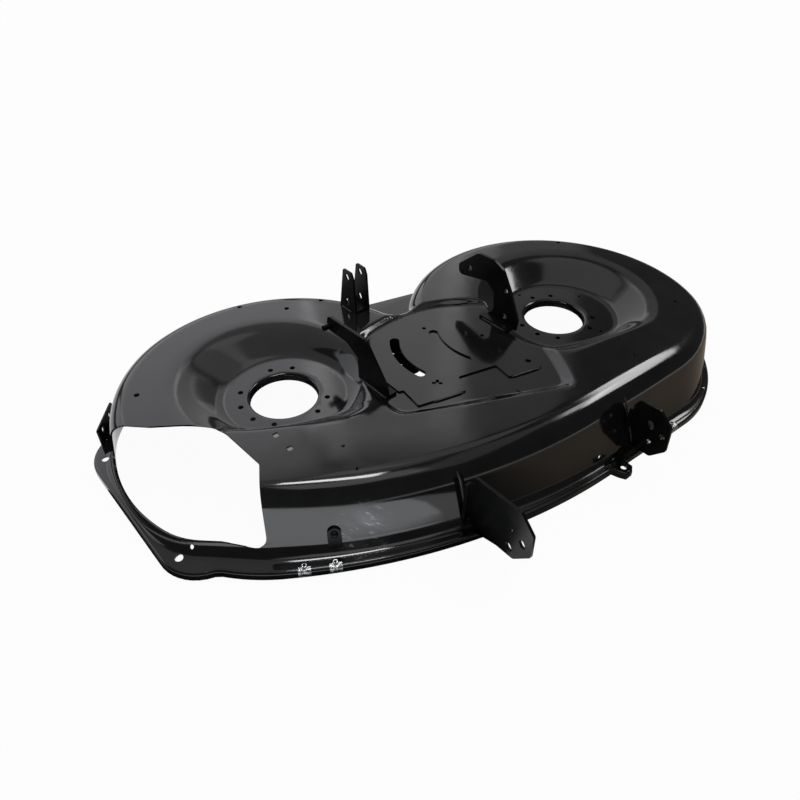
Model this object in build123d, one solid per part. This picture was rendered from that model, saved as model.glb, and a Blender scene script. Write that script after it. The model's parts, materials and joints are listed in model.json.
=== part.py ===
from build123d import *
import os
from math import acos, atan2, cos, degrees, radians, sin, sqrt

# Two-blade side-discharge mower deck, a welded steel shell.
# Frame: X across the machine, +Y to the rear, +Z up, floor at Z = 0 under the rim lip.
# Sizes are in millimetres and angles in degrees.

# Stamped shell
SPINDLE_PITCH = 536.0      # between the two spindle axes
SPINDLE_SKEW = 15.0        # spindle line turned from the cross line, so the blades overlap
SHEET = 3.0                # shell sheet thickness
DECK_HEIGHT = 110.0        # crest of the blade tunnel
LOBE_RADIUS = 284.0        # skirt round each spindle at its foot
FRONT_RADIUS = 985.0       # long bow of the front skirt
FRONT_SLOPE = 3.5          # straight end of the front skirt against the cross line
FRONT_FLAT = 6.0           # the front straight lies this far inside the lobe circle
FRONT_CORNER = 200.0       # turn from the front straight into the right lobe
DRAW_IN = 16.0             # the skirt beside the discharge opening, inside the lobe circle
DRAW_LEAN = 21.0           # how far it leans in at the crest
DRAW_ANGLE = 226.0         # round the left spindle, where the drawn-in skirt starts
DRAW_ROUNDING = 120.0      # turn from the lobe into it
NOTCH_RADIUS = 20.0        # root of the valley between the lobes
SKIRT_LEAN = 8.0           # how far the skirt leans in at the crest
FRONT_LEAN = 40.0          # the same along the front
CREST_ROUNDING = 30.0      # bend between skirt and crest
FLANGE_WIDTH = 14.0        # flat rim outside the skirt foot
FLANGE_HEIGHT = 12.0       # top of the flat rim, carried by the turned-down lip
LIP_BEND = 4.0             # outer bend between rim and lip
PAD_TRIM = 8.0             # straight rim edge at the discharge end, cut into the round rim
PAD_LENGTH = 365.0
PAD_CORNER = 70.0
EAR_X = 96.0               # small ear on the front rim
EAR_LENGTH = 40.0
EAR_WIDTH = 30.0
EAR_CORNER = 7.0

# Middle platform between the wells, pressed down from the crest
PLATFORM_DROP = 8.0
PLATFORM_CORNER = 16.0
PLATFORM_FLARE = 55.0      # how far its step lies back from upright

# Spindle wells, left and right: a floor circle and a crest circle, each placed along the
# spindle line and behind it, and a straight front wall at a distance from the spindle
WELL_DROP = 25.0           # floor below the crest
WELL_BLEND = 12.0
FLOOR_RADIUS = (108.0, 112.0)
FLOOR_ALONG = (6.0, 6.0)
FLOOR_BEHIND = (-5.0, -3.0)
FLOOR_FRONT = (80.0, 100.0)
CREST_RADIUS = (140.0, 155.0)
CREST_ALONG = (-20.0, 45.0)
CREST_BEHIND = (37.0, 25.0)
CREST_FRONT = (91.0, 121.0)
FRONT_TURN = (-12.0, 0.0)
SPINDLE_HOLE_RADIUS = 55.5
COLLAR_DEPTH = 14.0        # turned-down collar round the spindle hole
BOLT_CIRCLE = 72.0
BOLT_RADIUS = 4.5
BOLT_ANGLES = (45, 75, 135, 165, 195, 225, 285, 315)

# Discharge opening
OPENING_SILL = 30.0        # the skirt left standing below the opening
OPENING_CORNER = 14.0

# Holes of the stamping
CREST_HOLE_RADIUS = 4.5
SMALL_HOLE_RADIUS = 3.0
PAD_HOLE_RADIUS = 6.0
EAR_HOLE_RADIUS = 5.0
SQUARE_HOLE = 9.0
SKIRT_HOLE_HEIGHT = 13.0   # above the rim
SILL_HOLE_DROP = 9.0       # below the edge of the discharge opening
SILL_HOLE_ANGLE = -152.6   # round the left spindle
SLIT_LENGTH = 11.0         # drain slit in the middle platform
SLIT_WIDTH = 2.5

# Middle reinforcing plate
PLATE_THICKNESS = 3.0
PLATE_CORNER = 3.0
SLOT_RADIUS = 115.0
SLOT_SWEEP = 52.0
SLOT_WIDTH = 17.0
STAR_LENGTH = 17.0
STAR_WIDTH = 5.0
PLATE_HOLE_RADIUS = 3.5

# Welded brackets
BRACKET_SHEET = 5.0
BRACKET_CORNER = 8.0
LIFT_X = 148.0             # lift brackets, each side of the middle
LIFT_FOOT = 15.0
LIFT_FOOT_LENGTH = 70.0
LIFT_PIN_RADIUS = 5.0
LIFT_PIN_LENGTH = 14.0
FRONT_X = (-170.0, 150.0)  # front brackets
FRONT_REAR = (82.0, 31.0)  # their upright rear edges, behind the front line
FRONT_STRIP = 10.0         # strip folded to the left along each rear edge
CLEVIS_GAP = 26.0
CLEVIS_SHEET = 3.5
CLEVIS_HEIGHT = 82.0
CLEVIS_CORNER = 4.0
SLOT_HOLE_RADIUS = 4.5
HINGE_SHEET = 3.0
HINGE_LENGTH = 74.0
HINGE_HEIGHT = 34.0
HINGE_OVERHANG = 5.0       # its upright stands this far outside the rim
HINGE_ANGLE = 141.0        # round the left spindle
HINGE_SLOT_PITCH = 36.0
STRAP_SHEET = 2.5
STRAP_WIDTH = 20.0
STRAP_HEIGHT = 40.0
STRAP_ANGLE = -121.95      # round the centre of the front bow
RIVET_RADIUS = 5.5
CLIP_SHEET = 1.2
CLIP_WIDTH = 18.0
CLIP_DEPTH = 10.0
CLIP_BARREL = 3.5
CLIP_ANGLES = (-123.05, -120.55)


def turned(along, behind):
    """A point given along the spindle line and behind it, turned into the deck frame."""
    a = radians(-SPINDLE_SKEW)
    return Vector(along * cos(a) - behind * sin(a), along * sin(a) + behind * cos(a))


LEFT = turned(-SPINDLE_PITCH / 2, 0)
RIGHT = turned(SPINDLE_PITCH / 2, 0)
SPINDLES = (LEFT, RIGHT)
WELL_HEIGHT = DECK_HEIGHT - WELL_DROP
PLATFORM_HEIGHT = DECK_HEIGHT - PLATFORM_DROP


def angle_of(v):
    return degrees(atan2(v.Y, v.X))


def about(centre, offsets):
    """Points given as offsets from a centre."""
    return [(centre.X + x, centre.Y + y) for x, y in offsets]


def ring(centre, radius, angles):
    """Points on a circle round a centre."""
    return about(centre, [(radius * cos(radians(a)), radius * sin(radians(a))) for a in angles])


def front_facing():
    """Outward direction of the front straight, and the direction along it."""
    facing = radians(-90 - FRONT_SLOPE)
    normal = Vector(cos(facing), sin(facing))
    return normal, Vector(-normal.Y, normal.X)


def drawn_radius(lean, thin):
    """Radius of the skirt round the left spindle beside the discharge opening."""
    return LOBE_RADIUS - DRAW_IN - DRAW_LEAN * lean - thin


def front_bow(lean, thin, drawn=True):
    """Centre and radius of the front bow, which touches the straight and, at its left end,
    the drawn-in skirt or the plain lobe."""
    normal, along = front_facing()
    radius = drawn_radius(lean, thin) if drawn else LOBE_RADIUS - SKIRT_LEAN * lean - thin
    bow = FRONT_RADIUS - FRONT_LEAN * lean - thin
    reach = LOBE_RADIUS - FRONT_FLAT - FRONT_LEAN * lean - thin
    down = normal.dot(RIGHT - LEFT) + reach - bow
    return LEFT + normal * down + along * sqrt((bow - radius) ** 2 - down**2), bow


def outline(lean, thin, notched=True):
    """Plan outline of both lobes, drawn in by thin, at a share of the skirt's lean.

    Two arcs run round the spindles. The front is a long bow that runs into a straight
    and turns into the right lobe. The skirt's outline has a valley at the rear and is
    drawn in beside the discharge opening; the rim's has a straight rear and plain lobes."""
    normal, along = front_facing()
    facing = angle_of(normal)
    radius = LOBE_RADIUS - SKIRT_LEAN * lean - thin
    reach = LOBE_RADIUS - FRONT_FLAT - FRONT_LEAN * lean - thin
    bow_centre, bow = front_bow(lean, thin, notched)
    bow_start = angle_of(LEFT - bow_centre)
    corner = FRONT_CORNER - thin
    deep = reach - corner
    corner_centre = RIGHT + normal * deep + along * sqrt((radius - corner) ** 2 - deep**2)
    corner_end = angle_of(corner_centre - RIGHT)
    if notched:
        behind = sqrt((LOBE_RADIUS + NOTCH_RADIUS) ** 2 - (SPINDLE_PITCH / 2) ** 2)
        valley = turned(0, behind)
        right_end = angle_of(valley - RIGHT)
        left_start = angle_of(valley - LEFT)
        root_start = angle_of(RIGHT - valley)
        root_sweep = (angle_of(LEFT - valley) - root_start) % 360 - 360
        root = LOBE_RADIUS + NOTCH_RADIUS - radius
        join = CenterArc(valley, root, root_start, root_sweep)
        drawn = drawn_radius(lean, thin)
        turn_angle = DRAW_ANGLE - degrees(acos(drawn / radius))
        turn_at = ring(LEFT, radius, [turn_angle])[0]
        left_end = [
            CenterArc(LEFT, radius, left_start, turn_angle - left_start),
            Line(turn_at, ring(LEFT, drawn, [DRAW_ANGLE])[0]),
            CenterArc(LEFT, drawn, DRAW_ANGLE, bow_start + 360 - DRAW_ANGLE),
        ]
    else:
        rear = turned(0, radius)
        right_end = left_start = angle_of(rear)
        join = Line(RIGHT + rear, LEFT + rear)
        left_end = [CenterArc(LEFT, radius, left_start, bow_start + 360 - left_start)]
    face = make_face(
        [
            CenterArc(bow_centre, bow, bow_start, facing - bow_start),
            Line(bow_centre + normal * bow, corner_centre + normal * corner),
            CenterArc(corner_centre, corner, facing, corner_end - facing),
            CenterArc(RIGHT, radius, corner_end, right_end - corner_end),
            join,
            *left_end,
        ]
    )
    if notched:
        turn_vertex = face.vertices().sort_by_distance(Vector(*turn_at))[0]
        face = fillet(turn_vertex, DRAW_ROUNDING - thin)
    return face


def rim_outline(thin):
    """Outer edge of the flat rim, with the pad at the discharge end and the front ear."""
    edge = LEFT.X - LOBE_RADIUS - FLANGE_WIDTH + PAD_TRIM + thin
    room = 4 * LOBE_RADIUS
    rim_face = outline(0, thin - FLANGE_WIDTH, notched=False)
    rim_face &= Pos(edge + room / 2, 0) * Rectangle(room, room)
    pad_width = 2 * PAD_CORNER - 2 * thin + 1
    pad = RectangleRounded(pad_width, PAD_LENGTH - 2 * thin, PAD_CORNER - thin)
    ear = RectangleRounded(EAR_WIDTH - 2 * thin, EAR_LENGTH - 2 * thin, EAR_CORNER - thin)
    rim_face += Pos(edge + pad_width / 2, LEFT.Y) * pad
    return rim_face + Pos(EAR_X, RIGHT.Y - LOBE_RADIUS) * ear


def well(side, thin):
    """Cutter for one spindle well: an oblique cone on a blended floor, its front cut off
    by a leaning straight wall."""
    spindle = SPINDLES[side]
    low = WELL_HEIGHT - thin
    high = DECK_HEIGHT - thin
    floor_at = turned(FLOOR_ALONG[side], FLOOR_BEHIND[side])
    crest_at = turned(CREST_ALONG[side], CREST_BEHIND[side])
    floor = Pos(floor_at.X, floor_at.Y, low) * Circle(FLOOR_RADIUS[side] + thin)
    crest = Pos(crest_at.X, crest_at.Y, high) * Circle(CREST_RADIUS[side] + thin)
    cone = loft([floor, crest], ruled=True)
    cone = fillet(cone.faces().sort_by(Axis.Z)[0].edges(), WELL_BLEND + thin)
    room = 3 * CREST_RADIUS[side]
    wall = Rot(0, 0, FRONT_TURN[side] - SPINDLE_SKEW)
    foot = wall * Pos(0, room / 2 - FLOOR_FRONT[side] - thin, low) * Rectangle(2 * room, room)
    head = wall * Pos(0, room / 2 - CREST_FRONT[side] - thin, high) * Rectangle(2 * room, room)
    cone &= loft([foot, head], ruled=True)
    cone += extrude(cone.faces().sort_by(Axis.Z)[-1], DECK_HEIGHT)
    return Pos(spindle.X, spindle.Y) * cone


def platform(thin):
    """Cutter for the shallow middle platform, which carries the plate and lift brackets."""
    corners = [
        (-LIFT_X - 7, -105), (92, -226), (134, -166), (LIFT_X + 24, -70), (LIFT_X + 14, 30),
        (100, 78), (30, 100), (-70, 92), (-LIFT_X - 4, 10),
    ]
    face = fillet(make_face(Polyline(*corners, close=True)).vertices(), PLATFORM_CORNER)
    if thin:
        face = offset(face, thin)
    head = 2 * (PLATFORM_DROP + thin)
    return extrude(Pos(0, 0, PLATFORM_HEIGHT - thin) * face, head, taper=-PLATFORM_FLARE)


def form(thin):
    """Pressed form of the deck, drawn in by thin: leaning skirt, rounded crest, two
    dished wells and the middle platform."""
    top = DECK_HEIGHT - thin
    lean = top / DECK_HEIGHT
    body = loft([outline(0, thin), Pos(0, 0, top) * outline(lean, thin)], ruled=True)
    body = fillet(body.faces().sort_by(Axis.Z)[-1].edges(), CREST_ROUNDING - thin)
    return body - well(0, thin) - well(1, thin) - platform(thin)


def opening():
    """Cutter for the discharge opening, above the sill."""
    outside = -LOBE_RADIUS - 97
    corners = [
        (outside, 116), (-254, 89), (-208, 42), (-130, -15), (-124, -131), (-169, -205),
        (-221, -309), (outside, -309),
    ]
    face = make_face(Polyline(*about(LEFT, corners), close=True))
    face = fillet(face.vertices(), OPENING_CORNER)
    return extrude(Pos(0, 0, OPENING_SILL) * face, DECK_HEIGHT)


def upright_holes(points, radius):
    """Upright round holes through the whole height of the deck."""
    return [Pos(x, y, 0) * Cylinder(radius, 3 * DECK_HEIGHT) for x, y in points]


def side_plate(x, sheet, corners, holes):
    """Upright plate across X: corners are (Y, Z, rounding) and holes are
    (Y, Z, radius, slot length), with a length of 0 for a round hole."""
    face = make_face(Polyline(*[corner[:2] for corner in corners], close=True))
    for y, z, rounding in corners:
        if rounding:
            face = fillet(face.vertices().sort_by_distance(Vector(y, z))[0], rounding)
    for y, z, radius, length in holes:
        hole = SlotOverall(length, 2 * radius, rotation=60) if length else Circle(radius)
        face -= Pos(y, z) * hole
    return extrude(Plane.YZ.offset(x) * face, sheet / 2, both=True)


# Deck shell: one stamping with its skirt, rim, lip, wells and spindle collars
body_form = form(0)
rim_form = extrude(rim_outline(0), FLANGE_HEIGHT)
rim_form = fillet(rim_form.faces().sort_by(Axis.Z)[-1].edges(), LIP_BEND)
rim = rim_form - extrude(rim_outline(SHEET), FLANGE_HEIGHT - SHEET)
deck_shell = rim + body_form - form(SHEET) - opening()
for spindle in SPINDLES:
    well_floor = Pos(spindle.X, spindle.Y, WELL_HEIGHT)
    down = (Align.CENTER, Align.CENTER, Align.MAX)
    deck_shell += well_floor * Cylinder(SPINDLE_HOLE_RADIUS + SHEET, COLLAR_DEPTH, align=down)
    deck_shell -= well_floor * Cylinder(SPINDLE_HOLE_RADIUS, 4 * COLLAR_DEPTH)
    deck_shell -= upright_holes(ring(spindle, BOLT_CIRCLE, BOLT_ANGLES), BOLT_RADIUS)

# Small drain, clip and fixing holes of the stamping, placed from the nearer spindle
front_line = RIGHT.Y - LOBE_RADIUS
left_crest_holes = [(128, 180), (193, 162), (-191, 124), (64, 241)]
right_crest_holes = [(199, 157)]
left_tunnel_holes = [(-13, -180), (-26, -229)]
right_tunnel_holes = [(180, -139), (-5, -143), (-20, -188)]
pad_holes = [(-267, 131), (-267, -126)]
square_holes = [(-74, -97), (-74, -134)]
deck_shell -= upright_holes(about(LEFT, left_crest_holes), CREST_HOLE_RADIUS)
deck_shell -= upright_holes(about(RIGHT, right_crest_holes), CREST_HOLE_RADIUS)
deck_shell -= upright_holes(about(LEFT, left_tunnel_holes), SMALL_HOLE_RADIUS)
deck_shell -= upright_holes(about(RIGHT, right_tunnel_holes), SMALL_HOLE_RADIUS)
deck_shell -= upright_holes(ring(RIGHT, 93, (86, 8, -74)), SMALL_HOLE_RADIUS)
deck_shell -= upright_holes(about(LEFT, pad_holes), PAD_HOLE_RADIUS)
deck_shell -= upright_holes(ring(RIGHT, LOBE_RADIUS + FLANGE_WIDTH / 2, (-53, -66)), SMALL_HOLE_RADIUS)
deck_shell -= upright_holes([(EAR_X, front_line - 6)], EAR_HOLE_RADIUS)
for x, y in about(LEFT, square_holes):
    deck_shell -= Pos(x, y, DECK_HEIGHT) * Box(SQUARE_HOLE, SQUARE_HOLE, DECK_HEIGHT)
skirt_hole = Pos(EAR_X - 23, front_line, FLANGE_HEIGHT + SKIRT_HOLE_HEIGHT) * Rot(90, 0, 0)
deck_shell -= skirt_hole * Cylinder(SMALL_HOLE_RADIUS, LOBE_RADIUS / 2)
sill_hole = Pos(LEFT.X, LEFT.Y, OPENING_SILL - SILL_HOLE_DROP) * Rot(0, 0, SILL_HOLE_ANGLE)
sill_hole *= Pos(LOBE_RADIUS, 0, 0) * Rot(0, 90, 0)
deck_shell -= sill_hole * Cylinder(SMALL_HOLE_RADIUS, LOBE_RADIUS / 4)
platform_slit = Pos(22, -188, DECK_HEIGHT) * Rot(0, 0, 100)
deck_shell -= platform_slit * Box(SLIT_LENGTH, SLIT_WIDTH, DECK_HEIGHT)

# Idler slots: the left one goes through plate and shell, the right one through the plate
left_slot = CenterArc((45, -31), SLOT_RADIUS, 139, SLOT_SWEEP)
right_slot = CenterArc((127, -39), SLOT_RADIUS, 150, SLOT_SWEEP - 4)
left_slot_cut = extrude(SlotArc(left_slot, SLOT_WIDTH), 2 * DECK_HEIGHT)
deck_shell -= left_slot_cut

# Middle plate: flat sheet on the platform, square to the spindle line, notched at the front
plate_corners = [
    (-105, -96), (-97, -96), (-92, -140), (-6, -140), (0, -104), (72, -104), (76, -140),
    (140, -140), (140, -60), (110, 10), (60, 62), (-70, 62), (-124, -20),
]
plate_face = make_face(Polyline(*[turned(*corner) for corner in plate_corners], close=True))
plate_face = fillet(plate_face.vertices(), PLATE_CORNER)
centre_plate = extrude(Pos(0, 0, PLATFORM_HEIGHT) * plate_face, PLATE_THICKNESS)
centre_plate -= left_slot_cut
centre_plate -= extrude(SlotArc(right_slot, SLOT_WIDTH), 2 * DECK_HEIGHT)
for angle in (45, 135):
    star = Pos(-65, -90, DECK_HEIGHT) * Rot(0, 0, angle)
    centre_plate -= star * Box(STAR_LENGTH, STAR_WIDTH, DECK_HEIGHT)
tilted_square = Pos(92, -147, DECK_HEIGHT) * Rot(0, 0, 30)
centre_plate -= tilted_square * Box(SQUARE_HOLE, SQUARE_HOLE, DECK_HEIGHT)
centre_plate -= upright_holes([(24, 40), (87, -44)], PLATE_HOLE_RADIUS)

# Lift brackets: hooked plates on folded feet, drawn from the platform up
left_hook = [
    (-66, 0, 0), (-63, 24, 0), (-13, 86, 12), (86, 82, 8), (92, 55, 8), (35, 55, 12),
    (8, 40, 8), (8, 0, 0),
]
right_hook = [
    (-70, 0, 0), (-72, 22, 10), (-48, 72, 30), (-28, 104, 12), (-4, 115, 12), (34, 113, 10),
    (80, 74, 10), (78, 53, 9), (38, 61, 20), (8, 68, 12), (-11, 52, 12), (-14, 16, 12), (6, 0, 0),
]
right_hook_holes = [(52, 76, 5, 0), (-38, 68, 4.5, 0), (-41, 17, 5, 0)]
left_lift_bracket = side_plate(-LIFT_X, BRACKET_SHEET, left_hook, [(58, 68, 4, 0)])
right_lift_bracket = side_plate(LIFT_X, BRACKET_SHEET, right_hook, right_hook_holes)
foot = Pos(0, -30, BRACKET_SHEET / 2) * Box(LIFT_FOOT, LIFT_FOOT_LENGTH, BRACKET_SHEET)
foot_x = LIFT_X - (BRACKET_SHEET + LIFT_FOOT) / 2
left_lift_bracket = Pos(0, 0, PLATFORM_HEIGHT) * (left_lift_bracket + Pos(-foot_x, 0, 0) * foot)
right_lift_bracket = Pos(0, 0, PLATFORM_HEIGHT) * (right_lift_bracket + Pos(foot_x, 0, 0) * foot)
pin_at = Pos(-LIFT_X - BRACKET_SHEET / 2, 80, PLATFORM_HEIGHT + 66) * Rot(0, -90, 0)
outward = (Align.CENTER, Align.CENTER, Align.MIN)
left_lift_pin = pin_at * Cylinder(LIFT_PIN_RADIUS, LIFT_PIN_LENGTH, align=outward)

# Rear clevis: a folded channel with two tall ears, standing on the left lobe's crest
ear_corners = [
    (-24, -CREST_ROUNDING / 2, 0), (-20, CLEVIS_HEIGHT - 12, CLEVIS_CORNER),
    (-15, CLEVIS_HEIGHT, CLEVIS_CORNER), (9, CLEVIS_HEIGHT, CLEVIS_CORNER), (26, -CREST_ROUNDING / 2, 0),
]
ear_holes = [(-2, CLEVIS_HEIGHT - 13, SLOT_HOLE_RADIUS, 13), (1, 17, SLOT_HOLE_RADIUS, 13)]
clevis_half = (CLEVIS_GAP + CLEVIS_SHEET) / 2
rear_clevis = Pos(0, 0, CLEVIS_SHEET / 2) * Box(CLEVIS_GAP + CLEVIS_SHEET, 44, CLEVIS_SHEET)
for x in (-clevis_half, clevis_half):
    rear_clevis += side_plate(x, CLEVIS_SHEET, ear_corners, ear_holes)
clevis_at = LEFT + Vector(229, 103)
rear_clevis = Pos(clevis_at.X, clevis_at.Y, DECK_HEIGHT) * rear_clevis - body_form



def rear_strip(x, y, height):
    """Strip folded to the left along a front bracket's upright rear edge."""
    strip = Box(FRONT_STRIP, BRACKET_SHEET, height, align=(Align.MAX, Align.MAX, Align.MIN))
    return Pos(x - BRACKET_SHEET / 2, y, 0) * strip


# Front brackets: plates with a strip folded along the rear edge, welded to the skirt and the rim.
# They are drawn from the front line.
rise = DECK_HEIGHT - FLANGE_HEIGHT
front_left = [
    (FRONT_REAR[0], rise - 13, 0), (FRONT_REAR[0] - 9, rise + 1, 0), (-11, rise + 2, BRACKET_CORNER),
    (-37, rise - 26, BRACKET_CORNER), (-38, 30, BRACKET_CORNER), (-10, 0, BRACKET_CORNER),
    (FRONT_REAR[0], 0, 0),
]
front_right = [
    (FRONT_REAR[1], rise - 20, 0), (FRONT_REAR[1] - 9, rise - 4, 0), (-15, rise - 3, BRACKET_CORNER),
    (-39, rise - 26, BRACKET_CORNER), (-41, 26, BRACKET_CORNER), (-18, 0, BRACKET_CORNER),
    (FRONT_REAR[1], 0, 0),
]
left_holes = [(0, 18, SLOT_HOLE_RADIUS, 15), (-21, 43, SLOT_HOLE_RADIUS, 15), (0, 52, 4, 0)]
right_holes = [(-6, 60, SLOT_HOLE_RADIUS, 16), (-10, 26, SLOT_HOLE_RADIUS, 0), (-28, 49, SLOT_HOLE_RADIUS, 0)]
front_at = Pos(0, front_line, FLANGE_HEIGHT)
front_left_bracket = side_plate(FRONT_X[0], BRACKET_SHEET, front_left, left_holes)
front_left_bracket += rear_strip(FRONT_X[0], FRONT_REAR[0], rise - 13)
front_left_bracket = front_at * front_left_bracket - body_form
front_right_bracket = side_plate(FRONT_X[1], BRACKET_SHEET, front_right, right_holes)
front_right_bracket += rear_strip(FRONT_X[1], FRONT_REAR[1], rise - 20)
front_right_bracket = front_at * front_right_bracket - body_form

# Chute hinge bracket: an angle whose foot lies on the rim at the discharge end
hinge_at = Pos(LEFT.X, LEFT.Y, FLANGE_HEIGHT) * Rot(0, 0, HINGE_ANGLE)
hinge_at *= Pos(LOBE_RADIUS + FLANGE_WIDTH + HINGE_OVERHANG, 0, 0)
hinge_face = Pos(0, HINGE_HEIGHT / 2) * RectangleRounded(HINGE_LENGTH, HINGE_HEIGHT, 3)
for y in (-HINGE_SLOT_PITCH / 2, HINGE_SLOT_PITCH / 2):
    hinge_face -= Pos(y, HINGE_HEIGHT - 13) * SlotOverall(12, 8, rotation=90)
hinge_upright = extrude(Plane.YZ * hinge_face, HINGE_SHEET / 2, both=True)
hinge_foot_width = HINGE_OVERHANG + FLANGE_WIDTH - LIP_BEND
hinge_foot = Pos(-hinge_foot_width / 2, 0, HINGE_SHEET / 2) * Box(
    hinge_foot_width, HINGE_LENGTH - HINGE_HEIGHT, HINGE_SHEET
)
chute_hinge_bracket = hinge_at * (hinge_upright + hinge_foot) - body_form

# Skirt strap with its rivet, beside the discharge opening
bow_centre, bow_radius = front_bow(0, 0)
strap_way = Vector(cos(radians(STRAP_ANGLE)), sin(radians(STRAP_ANGLE)))
strap_at = bow_centre + strap_way * bow_radius
strap_top = FLANGE_HEIGHT + STRAP_HEIGHT - STRAP_WIDTH / 2
strap_face = Pos(0, (FLANGE_HEIGHT + strap_top) / 2) * Rectangle(STRAP_WIDTH, strap_top - FLANGE_HEIGHT)
strap_face += Pos(0, strap_top) * Circle(STRAP_WIDTH / 2)
strap_plane = Plane(strap_at, x_dir=(-strap_way.Y, strap_way.X, 0), z_dir=(strap_way.X, strap_way.Y, 0))
grown_skirt = loft(
    [outline(0, -STRAP_SHEET), Pos(0, 0, DECK_HEIGHT) * outline(1, -STRAP_SHEET)], ruled=True
)
skirt_strap = extrude(strap_plane * strap_face, FRONT_LEAN, both=True) & grown_skirt
skirt_strap -= body_form
rivet_centre, rivet_radius = front_bow(strap_top / DECK_HEIGHT, -STRAP_SHEET)
rivet_at = rivet_centre + (strap_at - rivet_centre).normalized() * rivet_radius
strap_rivet = Pos(rivet_at.X, rivet_at.Y, strap_top) * Sphere(RIVET_RADIUS)
strap_rivet -= skirt_strap + body_form

# Rim clips: sprung sheet folded over the rim edge, with a rolled barrel for a screw
grown_rim = extrude(rim_outline(-CLIP_SHEET), FLANGE_HEIGHT + CLIP_SHEET)
grown_rim = fillet(grown_rim.faces().sort_by(Axis.Z)[-1].edges(), LIP_BEND + CLIP_SHEET)
clip_skin = grown_rim - rim_form - body_form
normal, along = front_facing()
rim_bow_centre, rim_bow_radius = front_bow(0, 0, drawn=False)
clip_places = [(rim_bow_centre, rim_bow_radius, angle) for angle in CLIP_ANGLES]
clip_places.append((RIGHT, LOBE_RADIUS - FRONT_FLAT, angle_of(normal)))
rim_clips = []
for centre, radius, angle in clip_places:
    rim_edge = Pos(centre.X, centre.Y) * Rot(0, 0, angle) * Pos(radius + FLANGE_WIDTH, 0, 0)
    window = Pos(LIP_BEND - CLIP_DEPTH / 2, 0, FLANGE_HEIGHT) * Box(CLIP_DEPTH + LIP_BEND, CLIP_WIDTH, 20)
    barrel_at = rim_edge * Pos(-CLIP_BARREL - LIP_BEND, 0, FLANGE_HEIGHT + CLIP_SHEET)
    barrel = barrel_at * Cylinder(CLIP_BARREL, 4, align=outward)
    bore = barrel_at * Cylinder(CLIP_BARREL - CLIP_SHEET, 20)
    rim_clips.append((clip_skin & rim_edge * window) + barrel - bore)
rim_clips = Compound(children=[clip.solids()[0] for clip in rim_clips])

# Every piece is written with the deck's origin under the middle of its box
os.makedirs("parts", exist_ok=True)
nodes = dict(
    deck_shell=deck_shell,
    centre_plate=centre_plate,
    left_lift_bracket=left_lift_bracket,
    right_lift_bracket=right_lift_bracket,
    left_lift_pin=left_lift_pin,
    rear_clevis=rear_clevis,
    front_left_bracket=front_left_bracket,
    front_right_bracket=front_right_bracket,
    chute_hinge_bracket=chute_hinge_bracket,
    skirt_strap=skirt_strap,
    strap_rivet=strap_rivet,
    rim_clips=rim_clips,
)
boxes = [node.bounding_box() for node in nodes.values()]
middle_x = (min(box.min.X for box in boxes) + max(box.max.X for box in boxes)) / 2
middle_y = (min(box.min.Y for box in boxes) + max(box.max.Y for box in boxes)) / 2
for name, node in nodes.items():
    export_step(Pos(-middle_x, -middle_y, 0) * node, f"parts/{name}.step")
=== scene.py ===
import json

import bmesh
import bpy
import numpy as np
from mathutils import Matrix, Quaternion, Vector


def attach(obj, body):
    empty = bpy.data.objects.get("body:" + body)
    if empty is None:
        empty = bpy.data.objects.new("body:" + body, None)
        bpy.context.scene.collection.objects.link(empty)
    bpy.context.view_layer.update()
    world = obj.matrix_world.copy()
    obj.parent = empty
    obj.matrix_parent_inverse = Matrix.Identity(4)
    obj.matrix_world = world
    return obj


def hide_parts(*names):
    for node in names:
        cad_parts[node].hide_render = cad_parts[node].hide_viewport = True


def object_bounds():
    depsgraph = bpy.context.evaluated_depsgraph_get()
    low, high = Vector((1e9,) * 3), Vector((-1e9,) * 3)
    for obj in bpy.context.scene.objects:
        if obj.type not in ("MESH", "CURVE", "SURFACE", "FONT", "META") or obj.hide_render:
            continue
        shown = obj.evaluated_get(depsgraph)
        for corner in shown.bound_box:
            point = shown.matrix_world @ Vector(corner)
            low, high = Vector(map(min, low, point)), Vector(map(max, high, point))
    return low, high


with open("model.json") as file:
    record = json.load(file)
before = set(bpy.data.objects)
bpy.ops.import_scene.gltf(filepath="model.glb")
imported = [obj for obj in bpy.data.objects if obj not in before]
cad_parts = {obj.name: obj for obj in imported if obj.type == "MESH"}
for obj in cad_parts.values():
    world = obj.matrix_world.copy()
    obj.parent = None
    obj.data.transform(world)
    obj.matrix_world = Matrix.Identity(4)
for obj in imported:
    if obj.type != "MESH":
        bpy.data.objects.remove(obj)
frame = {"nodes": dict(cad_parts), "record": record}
cad_low, cad_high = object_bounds()

# Deck shell: one stamping of 3 mm steel sheet, with two dished spindle wells, a middle platform,
# a rounded crest, a leaning skirt and a flat rim with a turned-down lip. The press makes the form,
# and the holes and the discharge opening are punched out afterwards. Sizes here are in millimetres.
SHEET = 3.0
DECK_HEIGHT = 110.0
WELL_HEIGHT = 85.0
PLATFORM_HEIGHT = 102.0
LOBE_RADIUS = 284.0
SKIRT_LEAN = 8.0
FRONT_LEAN = 40.0
FRONT_RADIUS = 985.0
FRONT_ANGLE = -93.5
FRONT_FLAT = 6.0
FRONT_CORNER = 200.0
DRAW_IN = 16.0
DRAW_LEAN = 21.0
DRAW_ROUNDING = 120.0
DRAW_ANGLE = 226.0
NOTCH_RADIUS = 20.0
CREST_ROUNDING = 30.0
CREST_INSET = 29.0
FRONT_ROLL = 14.0
FRONT_INSET = 0.6 * FRONT_ROLL
FOOT_ROUNDING = 20.0
RIM_HEIGHT = 12.0
RIM_WIDTH = 14.0
LIP_BEND = 4.0
COLLAR_RADIUS = 55.5
COLLAR_BEND = 5.0
COLLAR_FOOT = 71.0
COLUMN_STEP = 8.8
VALLEY_COLUMNS = 14
FRONT_PASSES = 60
WELL_ROWS = 44
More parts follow.
